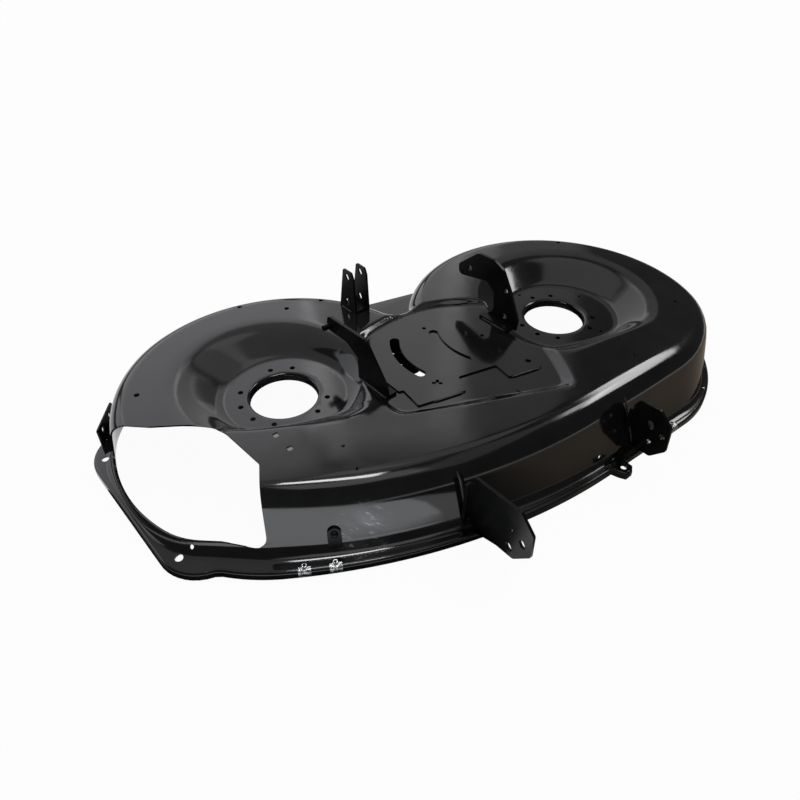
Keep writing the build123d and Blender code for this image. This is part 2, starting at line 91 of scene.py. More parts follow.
# The runs of the deck's outline, anticlockwise from the front
FRONT_BOW, FRONT_STRAIGHT, RIGHT_CORNER, RIGHT_LOBE, VALLEY = range(5)
LEFT_LOBE, DRAW_TURN, DRAW_STRAIGHT, DRAW_ARC = range(5, 9)


def plan(name):
    """Plan position of one of the record's mounts, in millimetres."""
    found = next(mount for mount in frame["record"]["mounts"] if mount["name"] == name)
    return 1000 * np.array(found["pos_m"][:2])


def way(angle):
    """Unit vectors in plan at angles in radians."""
    return np.stack([np.cos(angle), np.sin(angle)], -1)


def angle_of(vector):
    """Angle of plan vectors in radians."""
    return np.arctan2(vector[..., 1], vector[..., 0])


def smooth_min(a, b, k):
    """The lesser of two values, with a parabola of width k where they cross."""
    h = np.clip(1 - np.abs(a - b) / k, 0, 1)
    return np.minimum(a, b) - h * h * k / 4


def ramp(x, k):
    """Zero below -k, x above k, and a parabola between them."""
    return np.where(x < k, np.clip(x + k, 0, None) ** 2 / (4 * k), x)


spindles = (plan("left_spindle_bore"), plan("right_spindle_bore"))
left, right = spindles
middle = (left + right) / 2
along = (right - left) / np.linalg.norm(right - left)
behind = np.array([-along[1], along[0]])
front_angle = np.radians(FRONT_ANGLE)
front_way = way(front_angle)
front_run = np.array([-front_way[1], front_way[0]])
draw_angle = np.radians(DRAW_ANGLE)
valley_depth = np.sqrt((LOBE_RADIUS + NOTCH_RADIUS) ** 2 - np.sum((right - left) ** 2) / 4)
valley = middle + behind * valley_depth


def deck_outline(run, share, lean, inset):
    """Plan outline of the deck and its outward direction, one point to a column.

    A column lies on one of nine runs, at a share of its length: front bow, front straight, right
    front corner, right lobe, valley, left lobe, and the turn, straight and arc of the skirt that is
    drawn in beside the discharge opening. The outline is drawn in by a share of the skirt's lean
    and by an inset, and arcs keep touching each other: centre + radius * way(angle)."""
    radius = LOBE_RADIUS - SKIRT_LEAN * lean - inset
    drawn = LOBE_RADIUS - DRAW_IN - DRAW_LEAN * lean - inset
    reach = LOBE_RADIUS - FRONT_FLAT - FRONT_LEAN * lean - inset
    bow = FRONT_RADIUS - FRONT_LEAN * lean - inset
    bow_down = front_way @ (right - left) + reach - bow
    bow_run = np.sqrt((bow - drawn) ** 2 - bow_down**2)
    bow_centre = left + bow_down[:, None] * front_way + bow_run[:, None] * front_run
    bow_start = angle_of(left - bow_centre)
    corner = FRONT_CORNER - inset
    corner_down = reach - corner
    corner_run = np.sqrt((radius - corner) ** 2 - corner_down**2)
    corner_centre = right + corner_down[:, None] * front_way + corner_run[:, None] * front_run
    corner_end = angle_of(corner_centre - right)
    right_end = angle_of(valley - right)
    left_start = angle_of(valley - left)
    root_start = angle_of(right - valley)
    root_sweep = (angle_of(left - valley) - root_start) % (2 * np.pi) - 2 * np.pi
    turn = DRAW_ROUNDING - inset
    turn_start = draw_angle - np.arccos((drawn - turn) / (radius - turn))
    turn_centre = left + (radius - turn)[:, None] * way(turn_start)
    straight_start = bow_centre + bow[:, None] * front_way
    straight_end = corner_centre + corner[:, None] * front_way
    straight = straight_start + share[:, None] * (straight_end - straight_start)
    draw_start = turn_centre + turn[:, None] * way(draw_angle)
    draw_end = left + drawn[:, None] * way(draw_angle)
    draw = draw_start + share[:, None] * (draw_end - draw_start)
    one = np.ones_like(share)
    angle = np.choose(run, [
        bow_start + share * (front_angle - bow_start),
        front_angle * one,
        front_angle + share * (corner_end - front_angle),
        corner_end + share * (right_end - corner_end),
        root_start + share * root_sweep,
        left_start + share * (turn_start - left_start),
        turn_start + share * (draw_angle - turn_start),
        draw_angle * one,
        draw_angle + share * (bow_start + 2 * np.pi - draw_angle),
    ])
    notch = LOBE_RADIUS + NOTCH_RADIUS - radius
    size = np.choose(run, [bow, 0 * one, corner, radius, notch, radius, turn, 0 * one, drawn])
    centres = [bow_centre, straight, corner_centre, right, valley, left, turn_centre, draw, left]
    centre = np.choose(run[:, None], [np.broadcast_to(c, straight.shape) for c in centres])
    facing = np.where(run == VALLEY, -1, 1)[:, None] * way(angle)
    return centre + size[:, None] * way(angle), facing


# Columns run round the outline from the front end of the line between the spindles
trial = np.linspace(0, 1, 2001)
trial_inset = CREST_INSET + FRONT_INSET + 0 * trial
bow_points, _ = deck_outline(np.full(len(trial), FRONT_BOW), trial, 1 + 0 * trial, trial_inset)
split = np.interp(0, (bow_points - middle) @ along, trial)
spans = [
    (FRONT_BOW, split, 1), (FRONT_STRAIGHT, 0, 1), (RIGHT_CORNER, 0, 1), (RIGHT_LOBE, 0, 1),
    (VALLEY, 0, 0.5), (VALLEY, 0.5, 1), (LEFT_LOBE, 0, 1), (DRAW_TURN, 0, 1), (DRAW_STRAIGHT, 0, 1),
    (DRAW_ARC, 0, 1), (FRONT_BOW, 0, split),
]
runs, shares, valley_column = [], [], 0
for run, start, end in spans:
    s = np.linspace(start, end, 300)
    foot, _ = deck_outline(np.full(len(s), run), s, 0 * s, 0 * s)
    length = np.linalg.norm(np.diff(foot, axis=0), axis=1).sum()
    count = VALLEY_COLUMNS if run == VALLEY else max(4, round(length / COLUMN_STEP))
    if (run, start) == (VALLEY, 0.5):
        valley_column = sum(len(r) for r in runs)
    runs.append(np.full(count, run))
    shares.append(np.linspace(start, end, count, endpoint=False))
runs, shares = np.concatenate(runs), np.concatenate(shares)
columns = len(runs)
# The crest is rounded more widely along the front
front_share = (runs <= FRONT_STRAIGHT).astype(float)
for _ in range(FRONT_PASSES):
    front_share = (np.roll(front_share, 1) + front_share + np.roll(front_share, -1)) / 3
crest_rounding = CREST_ROUNDING + FRONT_ROLL * front_share
crest_inset = CREST_INSET + FRONT_INSET * front_share

WELL_FLOORS = dict(radius=(108, 112), along=(6, 6), behind=(-5, -3), front=(80, 100))
WELL_CRESTS = dict(radius=(140, 155), along=(-20, 45), behind=(37, 25), front=(91, 121))
WELL_FRONT_TURN = (-27.0, -15.0)
WELL_CORNER = 30.0
WALL_BLEND = 40.0
WELL_WALL_LEAST = 18.0
# Bends at the foot and the crest of a well's wall, where it is round and where it is straight
FOOT_BENDS = (12.0, 7.0)
CREST_BENDS = (27.0, 12.0)
TOP_BLEND = 3.0
PLATFORM_MARGIN = 2.0
PLATFORM_SLOPE = 0.7
PLATFORM_BEND = 5.0
PLATFORM_ROUNDING = 7.0
PLATFORM_CORNERS = np.array([
    (-155, -105), (92, -226), (134, -166), (172, -70), (162, 30), (100, 78), (30, 100), (-70, 92),
    (-152, 10),
])


def well_edge(rays, side, ring):
    """How far each ray from the spindle runs to a well's edge: out of an oblique circle of radius R
    about c, t = u.c + sqrt(R^2 - c.c + (u.c)^2), or to the straight front wall, whichever is nearer.
    The second value is 1 where the front wall is the nearer."""
    c = ring["along"][side] * along + ring["behind"][side] * behind
    toward = rays @ c
    round_edge = toward + np.sqrt(ring["radius"][side] ** 2 - c @ c + toward**2)
    turn = np.radians(WELL_FRONT_TURN[side])
    facing = rays @ np.array([np.sin(turn), -np.cos(turn)])
    wall = ring["front"][side] / np.clip(facing, 0.05, None)
    straight = np.clip(0.5 + (round_edge - wall) / WALL_BLEND, 0, 1)
    return smooth_min(round_edge, wall, WELL_CORNER), straight


def platform_side(points):
    """Distance outside the middle platform's outline: a smooth greatest value of the distances from
    its sides, so that its corners are rounded."""
    corners = PLATFORM_CORNERS + middle
    sides = np.roll(corners, -1, axis=0) - corners
    outward = np.stack([sides[:, 1], -sides[:, 0]], -1) / np.linalg.norm(sides, axis=1)[:, None]
    distance = points @ outward.T - np.sum(corners * outward, axis=1)
    greatest = distance.max(-1)
    excess = (distance - greatest[..., None]) / PLATFORM_ROUNDING
    return greatest + PLATFORM_ROUNDING * np.log(np.exp(excess).sum(-1))


def platform_height(points):
    """Height of the middle platform: flat inside its outline, rising on a slope outside."""
    return PLATFORM_HEIGHT + PLATFORM_SLOPE * ramp(platform_side(points) - PLATFORM_MARGIN, PLATFORM_BEND)


def top_height(points, side):
    """Height of the deck's top round one spindle: a flat floor, a wall with a bend at its foot and
    a wide bend at its crest, all lowered to the platform where that is lower."""
    offset = points - spindles[side]
    radius = np.linalg.norm(offset, axis=-1)
    rays = offset / radius[..., None]
    floor, _ = well_edge(rays, side, WELL_FLOORS)
    crest, wall = well_edge(rays, side, WELL_CRESTS)
    crest = np.maximum(crest, floor + WELL_WALL_LEAST)
    foot_bend = FOOT_BENDS[0] + (FOOT_BENDS[1] - FOOT_BENDS[0]) * wall
    crest_bend = CREST_BENDS[0] + (CREST_BENDS[1] - CREST_BENDS[0]) * wall
    rise = ramp(radius - floor, foot_bend) - ramp(radius - crest, crest_bend)
    well = WELL_HEIGHT + (DECK_HEIGHT - WELL_HEIGHT) * rise / (crest - floor)
    return smooth_min(well, platform_height(points), TOP_BLEND)


def lifted(points, height):
    """Plan points with a height."""
    return np.concatenate([points, np.broadcast_to(height, points.shape[:-1])[..., None]], -1)


FLAT_WEIGHT = 1 / 9
BEND_WEIGHT = 1.3
ROW_SAMPLES = 200
ROW_PASSES = 6


def spread_rows(inner, outer, side):
    """Rows of plan points along rays between two rings, closer together where the sheet bends:
    equal shares of the integral of FLAT_WEIGHT + BEND_WEIGHT * sqrt(curvature)."""
    s = np.linspace(0, 1, ROW_SAMPLES)[:, None, None]
    fine = inner + s * (outer - inner)
    step = np.linalg.norm(outer - inner, axis=1) / (ROW_SAMPLES - 1)
    bend = np.abs(np.gradient(np.gradient(top_height(fine, side), axis=0), axis=0)) / step**2
    weight = FLAT_WEIGHT + BEND_WEIGHT * np.sqrt(bend)
    for _ in range(ROW_PASSES):
        weight = (weight + np.roll(weight, 1, 1) + np.roll(weight, -1, 1)) / 3
        weight[1:-1] = (weight[1:-1] + weight[:-2] + weight[2:]) / 3
    total = np.concatenate([0 * weight[:1], np.cumsum((weight[1:] + weight[:-1]) / 2, axis=0)])
    total /= total[-1]
    wanted = np.linspace(0, 1, WELL_ROWS)
    where = np.stack([np.interp(wanted, column, s[:, 0, 0]) for column in total.T], -1)
    return inner + where[..., None] * (outer - inner)


def grid_faces(ids):
    """Triangles of a grid of point numbers, rows outwards and columns anticlockwise."""
    a, b, c, d = ids[:-1, :-1], ids[1:, :-1], ids[1:, 1:], ids[:-1, 1:]
    return np.concatenate([np.stack(t, -1).reshape(-1, 3) for t in ((a, b, c), (a, c, d))])


# The top: its outer ring and the line between the spindles are shared by the two wells' grids
zeros = np.zeros(columns)
crest_ring, _ = deck_outline(runs, shares, zeros + 1, crest_inset)
dividers = round(np.linalg.norm(crest_ring[0] - crest_ring[valley_column]) / COLUMN_STEP)
divide = np.linspace(0, 1, dividers + 1)[1:-1, None]
divider = crest_ring[valley_column] + divide * (crest_ring[0] - crest_ring[valley_column])
rim_ids = np.arange(columns)
divider_ids = columns + np.arange(dividers - 1)
shared = np.concatenate([crest_ring, divider])
sheets = [lifted(shared, top_height(shared, 1))]
sheets[0][:columns, 2] = smooth_min(DECK_HEIGHT, platform_height(crest_ring), TOP_BLEND)
faces = []
for side in (0, 1):
    if side:
        ring_ids = np.concatenate([rim_ids[:valley_column + 1], divider_ids])
    else:
        ring_ids = np.concatenate([rim_ids[valley_column:], rim_ids[:1], divider_ids[::-1]])
    outer = shared[ring_ids]
    rays = outer - spindles[side]
    rays /= np.linalg.norm(rays, axis=1)[:, None]
    inner = spindles[side] + (COLLAR_RADIUS + COLLAR_BEND) * rays
    rows = spread_rows(inner, outer, side)
    turn = np.radians(np.linspace(0, 90, 6))[:, None]
    collar_radius = np.concatenate([[[COLLAR_RADIUS]], COLLAR_RADIUS + COLLAR_BEND * (1 - np.cos(turn))])
    collar_height = np.concatenate([[[COLLAR_FOOT]], WELL_HEIGHT - COLLAR_BEND * (1 - np.sin(turn))])
    collar = lifted(spindles[side] + collar_radius[..., None] * rays, collar_height)
    surface = np.concatenate([collar[:-1], lifted(rows, top_height(rows, side))])[:-1]
    ids = sum(len(sheet) for sheet in sheets) + np.arange(surface.shape[0] * surface.shape[1])
    ids = np.concatenate([ids.reshape(surface.shape[:2]), ring_ids[None]])
    sheets.append(surface.reshape(-1, 3))
    faces.append(grid_faces(np.concatenate([ids, ids[:, :1]], axis=1)))

# The rim: RIM_WIDTH outside the foot, straight across the rear, with a pad at the discharge end and
# a small ear in front
PAD_EDGE = 290.0
PAD_HALF = 112.5
PAD_CORNER = 70.0
PAD_FACING = 0.3
EAR_X = 92.0
EAR_HALF = 15.0
EAR_TIP = -359.93
EAR_CORNER = 7.0
EAR_REACH = 34.0
foot_ring, facing = deck_outline(runs, shares, zeros, zeros)
rim_ring, _ = deck_outline(runs, shares, zeros, zeros - RIM_WIDTH)
bow_down = front_way @ (right - left) + LOBE_RADIUS - FRONT_FLAT - FRONT_RADIUS
bow_run = np.sqrt((FRONT_RADIUS - LOBE_RADIUS) ** 2 - bow_down**2)
bow_centre = left + bow_down * front_way + bow_run * front_run
bow_ray = foot_ring - bow_centre
on_bow = angle_of(bow_ray) > angle_of(left - bow_centre)
bow_rim = bow_centre + (FRONT_RADIUS + RIM_WIDTH) * bow_ray / np.linalg.norm(bow_ray, axis=1)[:, None]
rim_ring = np.where(((runs == FRONT_BOW) & on_bow)[:, None], bow_rim, rim_ring)
right_rear = (runs == RIGHT_LOBE) & ((foot_ring - right) @ along < 0) & ((foot_ring - right) @ behind > 0)
left_rear = (runs == LEFT_LOBE) & ((foot_ring - left) @ along > 0) & ((foot_ring - left) @ behind > 0)
rear = right_rear | left_rear | (runs == VALLEY)
rear_foot = foot_ring + (LOBE_RADIUS + RIM_WIDTH - (foot_ring - middle) @ behind)[:, None] * behind
rim_ring = np.where(rear[:, None], rear_foot, rim_ring)
rays = (foot_ring - left) / np.linalg.norm(foot_ring - left, axis=1)[:, None]
pad_side = -rays[:, 0]
pad_centre = np.stack([np.full(columns, -PAD_EDGE + PAD_CORNER), np.sign(rays[:, 1]) * PAD_HALF], -1)
toward = np.sum(rays * pad_centre, axis=1)
pad_reach = toward**2 - np.sum(pad_centre**2, axis=1) + PAD_CORNER**2
pad_round = np.where(pad_reach > 0, toward + np.sqrt(np.clip(pad_reach, 0, None)), 0)
pad_straight = PAD_EDGE / np.clip(pad_side, 0.1, None)
on_straight = np.abs(rays[:, 1]) * pad_straight < PAD_HALF
lobe_edge = np.minimum(LOBE_RADIUS + RIM_WIDTH, pad_straight)
pad_radius = np.where(on_straight, pad_straight, np.maximum(lobe_edge, pad_round))
on_pad = ((runs >= LEFT_LOBE) & (pad_side > PAD_FACING)) | ((runs == FRONT_BOW) & ~on_bow)
rim_ring = np.where(on_pad[:, None], left + pad_radius[:, None] * rays, rim_ring)

# Columns near the ear are spread evenly along its outline
ear_columns = np.flatnonzero((runs <= FRONT_STRAIGHT) & (np.abs(rim_ring[:, 0] - EAR_X) < EAR_REACH))
ear_turn = np.radians(np.linspace(0, 90, 5))
ear_edge = rim_ring[ear_columns]
ear_root = np.interp([EAR_X - EAR_HALF, EAR_X + EAR_HALF], ear_edge[:, 0], ear_edge[:, 1])
corner_x = EAR_HALF - EAR_CORNER * (1 - np.sin(ear_turn[::-1]))
corner_y = EAR_TIP + EAR_CORNER * (1 - np.cos(ear_turn[::-1]))
ear_path = np.concatenate([
    [ear_edge[0], (EAR_X - EAR_HALF, ear_root[0])],
    np.stack([EAR_X - corner_x, corner_y], -1),
    np.stack([EAR_X + corner_x, corner_y], -1)[::-1],
    [(EAR_X + EAR_HALF, ear_root[1]), ear_edge[-1]],
])
ear_length = np.concatenate([[0], np.cumsum(np.linalg.norm(np.diff(ear_path, axis=0), axis=1))])
ear_at = np.linspace(0, ear_length[-1], len(ear_columns))
rim_ring[ear_columns] = np.stack([np.interp(ear_at, ear_length, ear_path[:, i]) for i in (0, 1)], -1)
rim_tangent = np.roll(rim_ring, -1, axis=0) - np.roll(rim_ring, 1, axis=0)
rim_tangent /= np.linalg.norm(rim_tangent, axis=1)[:, None]
rim_outward = np.stack([rim_tangent[:, 1], -rim_tangent[:, 0]], -1)

# The skirt: each column has its own slope, lean / height, and its profile is drawn by how far in it
# lies and how high: an arc under the crest, the straight skirt and a hollow arc at the foot
FOOT_SHARE = 0.85
FOOT_LEAST = 1.5
VALLEY_FOOT = 8.0
FOOT_PASSES = 30
head_ring, _ = deck_outline(runs, shares, zeros + 1, zeros)
column_lean = np.sum((foot_ring - head_ring) * facing, axis=1)
slope = column_lean / DECK_HEIGHT
tilt = np.arctan(slope)
crest_in = slope * (DECK_HEIGHT - crest_rounding) + crest_rounding / np.cos(tilt)
crest_turn = np.linspace(0, 1, 9)[:, None] * (np.pi / 2 - tilt)
room = np.sum((rim_ring - foot_ring) * facing, axis=1) - LIP_BEND
foot_most = np.where(runs == VALLEY, VALLEY_FOOT, FOOT_ROUNDING)
foot_rounding = np.clip(FOOT_SHARE * room / np.tan(np.pi / 4 - tilt / 2), FOOT_LEAST, foot_most)
for _ in range(FOOT_PASSES):
    mean = (np.roll(foot_rounding, 1) + foot_rounding + np.roll(foot_rounding, -1)) / 3
    foot_rounding = np.minimum(foot_rounding, mean)
foot_in = slope * (RIM_HEIGHT + foot_rounding) - foot_rounding / np.cos(tilt)
foot_turn = tilt + np.linspace(0, 1, 8)[:, None] * (np.pi / 2 - tilt)
profile_in = [crest_in - crest_rounding * np.sin(crest_turn), foot_in + foot_rounding * np.cos(foot_turn)]
profile_up = [
    DECK_HEIGHT - crest_rounding * (1 - np.cos(crest_turn)),
    RIM_HEIGHT + foot_rounding * (1 - np.sin(foot_turn)),
]
between = np.linspace(0, 1, 5)[1:-1, None]
profile_in.insert(1, profile_in[0][-1] + between * (profile_in[1][0] - profile_in[0][-1]))
profile_up.insert(1, profile_up[0][-1] + between * (profile_up[1][0] - profile_up[0][-1]))
skirt = []
for inward, up in zip(np.concatenate(profile_in), np.concatenate(profile_up)):
    points, _ = deck_outline(runs, shares, up / DECK_HEIGHT, inward - column_lean * up / DECK_HEIGHT)
    skirt.append(lifted(points, up))
skirt = np.stack(skirt)

bend_turn = np.radians(np.linspace(0, 90, 5))[:, None, None]
bend_height = RIM_HEIGHT - LIP_BEND * (1 - np.cos(bend_turn))
bend = lifted(rim_ring - LIP_BEND * (1 - np.sin(bend_turn)) * rim_outward, bend_height[..., 0])
flat = np.linspace(0, 1, 5)[1:-1, None, None]
flat = skirt[-1] + flat * (bend[0] - skirt[-1])
lip = np.stack([lifted(rim_ring, RIM_HEIGHT / 3), lifted(rim_ring, 0.0)])
strip = np.concatenate([skirt, flat, bend, lip])
strip[..., 2] = smooth_min(strip[..., 2], platform_height(strip[..., :2]), TOP_BLEND)
ids = sum(len(sheet) for sheet in sheets) + np.arange(strip.shape[0] * columns)
ids = np.concatenate([rim_ids[None], ids.reshape(strip.shape[:2])])
sheets.append(strip.reshape(-1, 3))
faces.append(grid_faces(np.concatenate([ids, ids[:, :1]], axis=1)))
points, triangles = np.concatenate(sheets), np.concatenate(faces)

# The left end's wall leans in further, by up to END_LEAN at the crest, before the discharge opening.
# The angles, in degrees, and the reach are from the left spindle.
END_LEAN = 10.0
END_START, END_RISE = 110.0, 65.0
END_STOP, END_FALL = 264.0, 32.0
END_REACH, END_BLEND = 190.0, 70.0
end_offset = points[:, :2] - left
end_reach = np.linalg.norm(end_offset, axis=1)
end_angle = np.degrees(angle_of(end_offset)) % 360
end_share = np.clip((end_angle - END_START) / END_RISE, 0, 1)
end_share = end_share * np.clip((END_STOP - end_angle) / END_FALL, 0, 1)
end_share = end_share * np.clip((end_reach - END_REACH) / END_BLEND, 0, 1)
end_share = end_share**2 * (3 - 2 * end_share) * points[:, 2] / DECK_HEIGHT
points[:, :2] -= END_LEAN * (end_share / end_reach)[:, None] * end_offset

# Punched holes: each is a distance that is negative inside it, and they are joined as the least one
BOLT_ANGLES = np.radians([45, 75, 135, 165, 195, 225, 285, 315])
BOLT_CIRCLE = 72.0
BOLT_HOLE = 4.5
CHUTE_HOLE = 6.0
EAR_HOLE = 5.0
SMALL_HOLE = 3.0
SIDE_HOLE = 3.0
LEFT_SMALL_HOLES = ((-13, -180), (-26, -229))
RIGHT_SMALL_HOLES = ((-5, -143), (-20, -188))
SQUARE_HOLES = ((-74, -97), (-74, -134))
SQUARE_SIDE = 9.0
IDLER_AT = (45, -31)
IDLER_RADIUS = 115.0
IDLER_WIDTH = 17.0
OPENING_CORNER = 14.0
OPENING_SILL = 30.0
SILL_DROP = 10.0
SILL_START, SILL_RUN = 216.0, 14.0
SILL_CORNER = 24.0
FAR = 99.0
OPENING_CORNERS = np.array([
    (-381, 116), (-254, 89), (-208, 42), (-130, -15), (-124, -131), (-169, -205), (-221, -309),
    (-381, -309),
])
round_holes = np.array([
    *[(*(spindle + BOLT_CIRCLE * way(angle)), BOLT_HOLE) for spindle in spindles for angle in BOLT_ANGLES],
    *[(*(left + at), BOLT_HOLE) for at in ((128, 180), (193, 162), (-191, 124), (64, 241))],
    *[(*(left + at), SMALL_HOLE) for at in LEFT_SMALL_HOLES],
    *[(*(left + at), CHUTE_HOLE) for at in ((-267, 131), (-267, -126))],
    (*(right + (199, 157)), BOLT_HOLE),
    *[(*(right + at), SMALL_HOLE) for at in ((180, -139), *RIGHT_SMALL_HOLES)],
    *[(*(right + 93 * way(np.radians(angle))), SMALL_HOLE) for angle in (86, 8, -74)],
    *[(*(right + 291 * way(np.radians(angle))), SMALL_HOLE) for angle in (-53, -66)],
    (EAR_X, right[1] - LOBE_RADIUS - 6, EAR_HOLE),
])


def rounded(corners, radius):
    """A closed outline whose corners are parabolas touching both sides."""
    before, after = corners - np.roll(corners, 1, axis=0), np.roll(corners, -1, axis=0) - corners
    room_before, room_after = np.linalg.norm(before, axis=1), np.linalg.norm(after, axis=1)
    before, after = before / room_before[:, None], after / room_after[:, None]
    half = np.arccos(np.clip(np.sum(before * after, axis=1), -1, 1)) / 2
    trim = np.minimum(radius * np.tan(half), 0.45 * np.minimum(room_before, room_after))[:, None]
    s = np.linspace(0, 1, 7)[:, None, None]
    start, end = corners - trim * before, corners + trim * after
    arc = (1 - s) ** 2 * start + 2 * s * (1 - s) * corners + s**2 * end
    return arc.transpose(1, 0, 2).reshape(-1, 2)


def outline_distance(points, corners):
    """Distance from a closed outline in plan, negative inside: the least distance from its sides,
    with its sign from how often a line to the right crosses them."""
    after = np.roll(corners, -1, axis=0)
    sides = after - corners
    offset = points[:, None] - corners
    along_side = np.clip(np.sum(offset * sides, axis=2) / np.sum(sides**2, axis=1), 0, 1)
    distance = np.linalg.norm(offset - along_side[..., None] * sides, axis=2).min(1)
    above = points[:, None, 1] < corners[:, 1]
    crossing = above != (points[:, None, 1] < after[:, 1])
    safe = np.where(sides[:, 1] == 0, 1, sides[:, 1])
    cross_x = corners[:, 0] + offset[..., 1] / safe * sides[:, 0]
    inside = np.sum(crossing & (points[:, None, 0] < cross_x), axis=1) % 2 == 1
    return np.where(inside, -distance, distance)


def slot_distance(points, centre, radius, start, sweep, width):
    """Distance from a curved slot's edge: from an arc with round ends, less half its width."""
    offset = points - centre
    half = np.radians(sweep) / 2
    mid = np.radians(start) + half
    angle = (angle_of(offset) - mid + np.pi) % (2 * np.pi) - np.pi
    nearest = radius * way(mid + np.clip(angle, -half, half))
    return np.linalg.norm(offset - nearest, axis=1) - width / 2


def box_distance(points, centre, turn, length, width):
    """Distance from a turned rectangle, negative inside."""
    u, v = way(np.radians(turn)), way(np.radians(turn + 90))
    offset = points - centre
    return np.maximum(np.abs(offset @ u) - length / 2, np.abs(offset @ v) - width / 2)


def punched(points):
    """Distance from the nearest hole or opening of the shell, negative where the sheet is gone."""
    flat = points[:, :2]
    opening = rounded(OPENING_CORNERS + left, OPENING_CORNER)
    sill_angle = np.degrees(angle_of(flat - left)) % 360
    sill = OPENING_SILL - SILL_DROP * np.clip((sill_angle - SILL_START) / SILL_RUN, 0, 1)
    skirt_side = np.hypot(flat[:, 0] - EAR_X + 23, points[:, 2] - 25) - SIDE_HOLE
    sill_way = way(np.radians(-152.6))
    sill_run = np.array([-sill_way[1], sill_way[0]])
    sill_side = np.hypot((flat - left) @ sill_run, points[:, 2] - 21) - SIDE_HOLE
    return np.min([
        (np.linalg.norm(flat[:, None] - round_holes[:, :2], axis=2) - round_holes[:, 2]).min(1),
        -smooth_min(-outline_distance(flat, opening), points[:, 2] - sill, SILL_CORNER),
        slot_distance(flat, middle + IDLER_AT, IDLER_RADIUS, 139, 52, IDLER_WIDTH),
        *[box_distance(flat, left + at, 0, SQUARE_SIDE, SQUARE_SIDE) for at in SQUARE_HOLES],
        box_distance(flat, middle + (22, -188), 100, 11, 2.5),
        np.where((flat[:, 1] < -250) & (points[:, 2] > 14), skirt_side, FAR),
        np.where((flat - left) @ sill_way > 255, sill_side, FAR),
    ], axis=0)


def refine(points, triangles, distance, size):
    """Halves the sides that cross or come near a cut until they are short. A triangle with one, two
    or three halved sides becomes two, three or four."""
    for _ in range(5):
        sides = np.sort(triangles[:, [0, 1, 1, 2, 2, 0]].reshape(-1, 2), axis=1)
        keys, back = np.unique(sides[:, 0] * len(points) + sides[:, 1], return_inverse=True)
        start, end = keys // len(points), keys % len(points)
        length = np.linalg.norm(points[end] - points[start], axis=1)
        value = np.abs(distance(points))
        halved = (length > size) & (np.minimum(value[start], value[end]) < length)
        number = np.full(len(keys), -1)
        number[halved] = len(points) + np.arange(halved.sum())
        points = np.concatenate([points, (points[start] + points[end])[halved] / 2])
        mids = number[back].reshape(-1, 3)
        count = (mids >= 0).sum(1)
        first = np.where(count == 1, np.argmax(mids >= 0, axis=1), (np.argmax(mids < 0, axis=1) + 1) % 3)
        order = (first[:, None] + np.arange(3)) % 3
        v, m = np.take_along_axis(triangles, order, 1), np.take_along_axis(mids, order, 1)
        pick = lambda cells, n: np.concatenate([np.stack(cell, -1)[count == n] for cell in cells])
        a, b, c = v.T
        d, e, f = m.T
        triangles = np.concatenate([
            v[count == 0],
            pick([(a, d, c), (d, b, c)], 1),
            pick([(d, b, e), (a, d, e), (a, e, c)], 2),
            pick([(a, d, f), (d, b, e), (f, e, c), (d, e, f)], 3),
        ])
    return points, triangles


def punch(points, triangles, distance):
    """Cuts away the part of a triangle sheet where the distance is negative, with new points where
    the sides cross the cut, found by halving."""
    value = distance(points)
    kept = value > 0
    count = kept[triangles].sum(1)
    crossing = triangles[(count == 1) | (count == 2)]
    alone = kept[crossing] == (kept[crossing].sum(1) == 1)[:, None]
    order = (np.argmax(alone, axis=1)[:, None] + np.arange(3)) % 3
    a, b, c = np.take_along_axis(crossing, order, 1).T
    sides = np.sort(np.concatenate([np.stack([a, b], -1), np.stack([a, c], -1)]), axis=1)
    keys, back = np.unique(sides[:, 0] * len(points) + sides[:, 1], return_inverse=True)
    start, end = points[keys // len(points)], points[keys % len(points)]
    inner = np.where(kept[keys // len(points)][:, None], end, start)
    outer = np.where(kept[keys // len(points)][:, None], start, end)
    for _ in range(12):
        half = (inner + outer) / 2
        solid = (distance(half) > 0)[:, None]
        inner, outer = np.where(solid, inner, half), np.where(solid, half, outer)
    ab, ac = (len(points) + back).reshape(2, -1)
    single = kept[a]
    triangles = np.concatenate([
        triangles[count == 3],
        np.stack([a, ab, ac], -1)[single],
        np.stack([ab, b, c], -1)[~single],
        np.stack([ab, c, ac], -1)[~single],
    ])
    points = np.concatenate([points, outer])
    used, triangles = np.unique(triangles, return_inverse=True)
    return points[used], triangles.reshape(-1, 3)


def thicken(points, triangles, thickness):
    """A closed sheet: the surface, a copy moved in by the thickness along the mean normals, and a
    wall along every open edge. The last value marks the points on open edges."""
    a, b, c = points[triangles].transpose(1, 0, 2)
    normals = np.cross(b - a, c - a)
    mean = np.stack([
        sum(np.bincount(corner, normals[:, axis], len(points)) for corner in triangles.T) for axis in range(3)
    ], -1)
    mean /= np.linalg.norm(mean, axis=1)[:, None]
    sides = triangles[:, [0, 1, 1, 2, 2, 0]].reshape(-1, 2)
    one_way = sides[:, 0] * len(points) + sides[:, 1]
    open_sides = sides[~np.isin(one_way, sides[:, 1] * len(points) + sides[:, 0])]
    i, j = open_sides.T
    wall = np.concatenate([
        np.stack([j, i, i + len(points)], -1), np.stack([j, i + len(points), j + len(points)], -1),
    ])
    edge = np.zeros(2 * len(points), bool)
    edge[np.concatenate([open_sides.ravel(), open_sides.ravel() + len(points)])] = True
    solid = np.concatenate([triangles, triangles[:, ::-1] + len(points), wall])
    return np.concatenate([points, points - thickness * mean]), solid, edge


